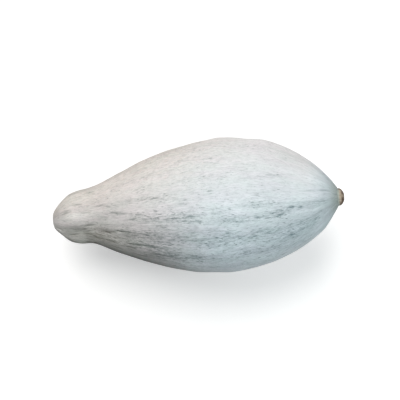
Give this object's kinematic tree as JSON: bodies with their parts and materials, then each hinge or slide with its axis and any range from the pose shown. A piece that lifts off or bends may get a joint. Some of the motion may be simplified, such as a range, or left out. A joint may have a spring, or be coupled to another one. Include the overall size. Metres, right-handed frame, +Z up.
{
  "type": "kabocha squash",
  "caption": "Whole long winter squash with a knuckled neck, pale waxy grey-green rind and a cut corky stem, lying on its side.",
  "frame": {"origin": "under the middle of the squash's bounding box, on the surface it lies on", "axes": "+X from the blossom end to the stem end, +Y to the back, +Z up"},
  "size_m": [0.38, 0.176, 0.1754],
  "materials": {
    "rind": "matte waxy grey-green rind with a chalky bloom and short grey-green dashes along its length",
    "cork": "dry beige cork with a dark brown cut end"
  },
  "bodies": {
    "root": {"fruit": "rind", "stem": "cork"}
  },
  "joints": []
}
